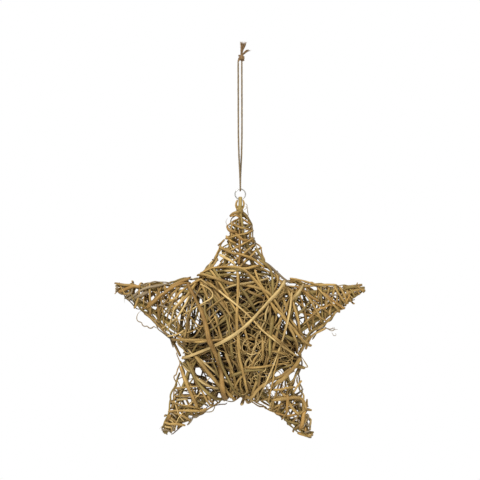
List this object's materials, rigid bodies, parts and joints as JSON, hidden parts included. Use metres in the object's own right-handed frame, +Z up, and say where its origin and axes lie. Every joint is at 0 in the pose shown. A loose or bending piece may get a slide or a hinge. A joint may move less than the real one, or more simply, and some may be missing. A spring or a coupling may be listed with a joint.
{
  "type": "rattan star ornament",
  "caption": "Hanging star ornament, wound from dry vines over crossed rods, with a steel ring and a jute twine loop to hang it by",
  "frame": {"origin": "the hanging point: inside the top of the twine loop, just under its knot", "axes": "+Z up, the star's front faces -Y, and one of its arms points straight up"},
  "size_m": [0.2477, 0.0728, 0.3969],
  "materials": {
    "frame_vine": "bare dry vine rod with its bark partly peeled",
    "winding_vine": "bare dry vine, fibrous, from tan to grey brown",
    "inner_vine": "bare dry vine, darker",
    "steel_ring": "plated steel wire",
    "jute_twine": "twisted jute twine, hairy"
  },
  "bodies": {
    "root": {"metal_ring": "steel_ring", "twine_loop": "jute_twine", "twine_knot": "jute_twine", "hanging_eye": "winding_vine", "front_frame_rod_1": "frame_vine", "front_frame_rod_2": "frame_vine", "front_frame_rod_3": "frame_vine", "front_frame_rod_4": "frame_vine", "front_frame_rod_5": "frame_vine", "back_frame_rod_1": "frame_vine", "back_frame_rod_2": "frame_vine", "back_frame_rod_3": "frame_vine", "back_frame_rod_4": "frame_vine", "back_frame_rod_5": "frame_vine", "inner_vine_1": "inner_vine", "inner_vine_2": "inner_vine", "top_arm_vine_1": "winding_vine", "top_arm_vine_2": "winding_vine", "right_arm_vine_1": "winding_vine", "right_arm_vine_2": "winding_vine", "lower_right_arm_vine_1": "winding_vine", "lower_right_arm_vine_2": "winding_vine", "lower_left_arm_vine_1": "winding_vine", "lower_left_arm_vine_2": "winding_vine", "left_arm_vine_1": "winding_vine", "left_arm_vine_2": "winding_vine", "body_vine_1": "winding_vine", "body_vine_2": "winding_vine", "body_vine_3": "winding_vine", "body_vine_4": "winding_vine", "body_vine_5": "winding_vine", "body_vine_6": "winding_vine", "body_vine_7": "winding_vine", "body_vine_8": "winding_vine", "body_vine_9": "winding_vine", "body_vine_10": "winding_vine", "body_vine_11": "winding_vine", "body_vine_12": "winding_vine", "body_vine_13": "winding_vine", "body_vine_14": "winding_vine", "body_vine_15": "winding_vine"}
  },
  "joints": []
}
